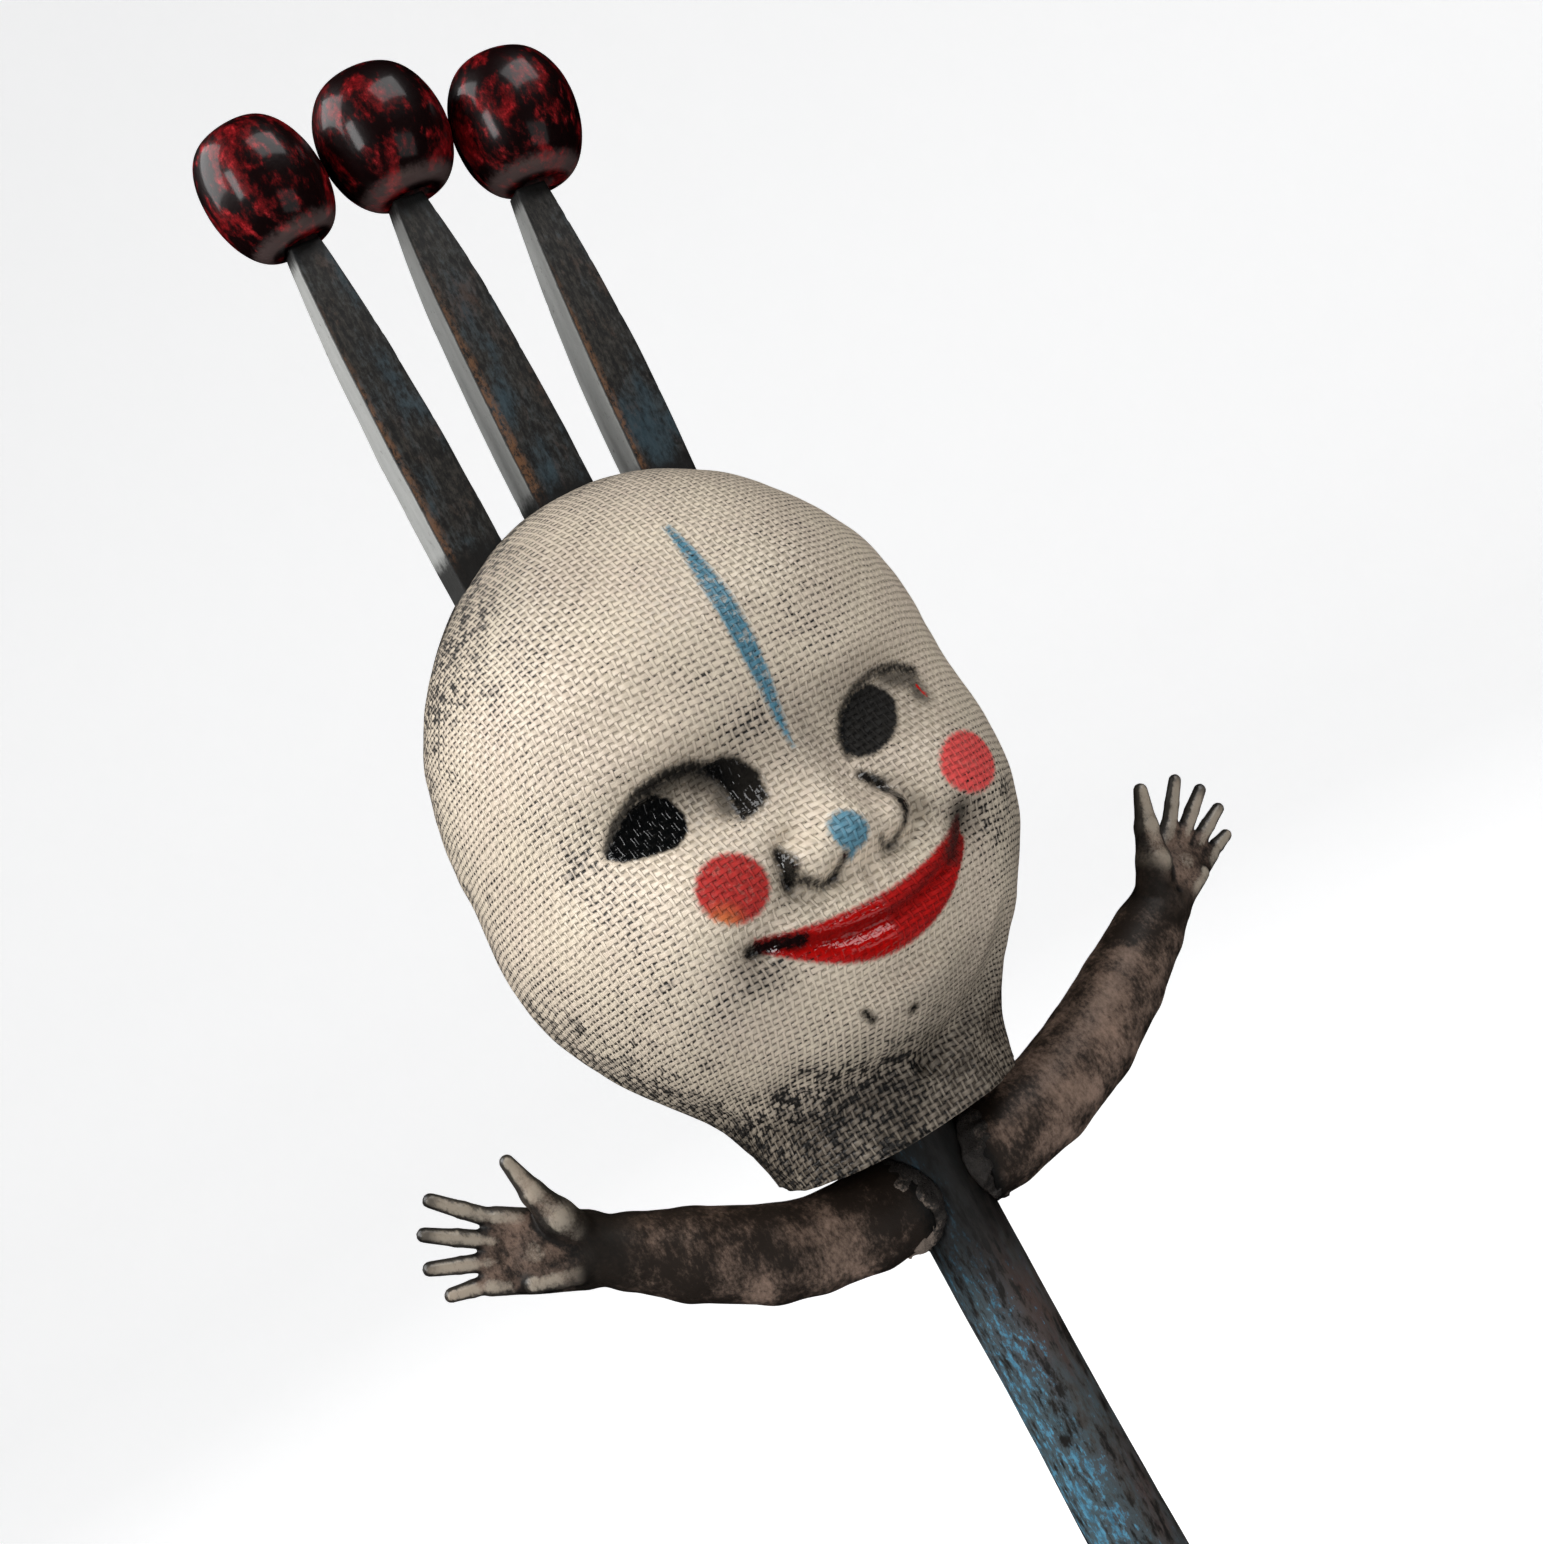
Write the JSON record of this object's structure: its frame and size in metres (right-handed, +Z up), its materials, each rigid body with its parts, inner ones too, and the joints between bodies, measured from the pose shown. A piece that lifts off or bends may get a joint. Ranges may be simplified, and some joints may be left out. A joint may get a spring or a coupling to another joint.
{
  "type": "scarecrow figure",
  "caption": "Scarecrow figure on a pole: a pressed cloth doll head, bead-tipped wooden tines standing from its crown and doll arms spread wide at the neck.",
  "frame": {"origin": "centre of the pole's lower end", "axes": "+Z up the pole, the face looks along -Y, +X to the right when seen from in front"},
  "size_m": [0.1405, 0.072, 0.3077],
  "materials": {
    "pole_paint": "brown-black paint under worn streaks of turquoise, eggshell",
    "core_wood": "bare carved softwood",
    "mask_cloth": "open plain-weave cloth, sized hard, painted cream and rubbed with black",
    "back_cloth": "the same stiff cloth painted black-brown",
    "putty": "lumpy hand-pressed putty, painted black-brown",
    "steel": "plain steel",
    "tine_paint": "front black-brown with rubbed blue and rust, side faces pale blue-grey",
    "bead_glaze": "dark red mottled with black under a clear gloss",
    "glue": "black glue",
    "arm_cast": "unglazed pinkish beige with dark brown washes"
  },
  "bodies": {
    "root": {"pole": "pole_paint", "head_core": "core_wood", "mask_face": "mask_cloth", "head_back": "back_cloth", "neck_putty": "putty", "core_screw": "steel", "tine_left": "tine_paint", "tine_middle": "tine_paint", "tine_right": "tine_paint", "bead_left": "bead_glaze", "bead_middle": "bead_glaze", "bead_right": "bead_glaze", "bead_glue": "glue", "arm_left": "arm_cast", "arm_right": "arm_cast", "arm_rod": "steel", "putty_left": "putty", "putty_right": "putty"}
  },
  "joints": []
}
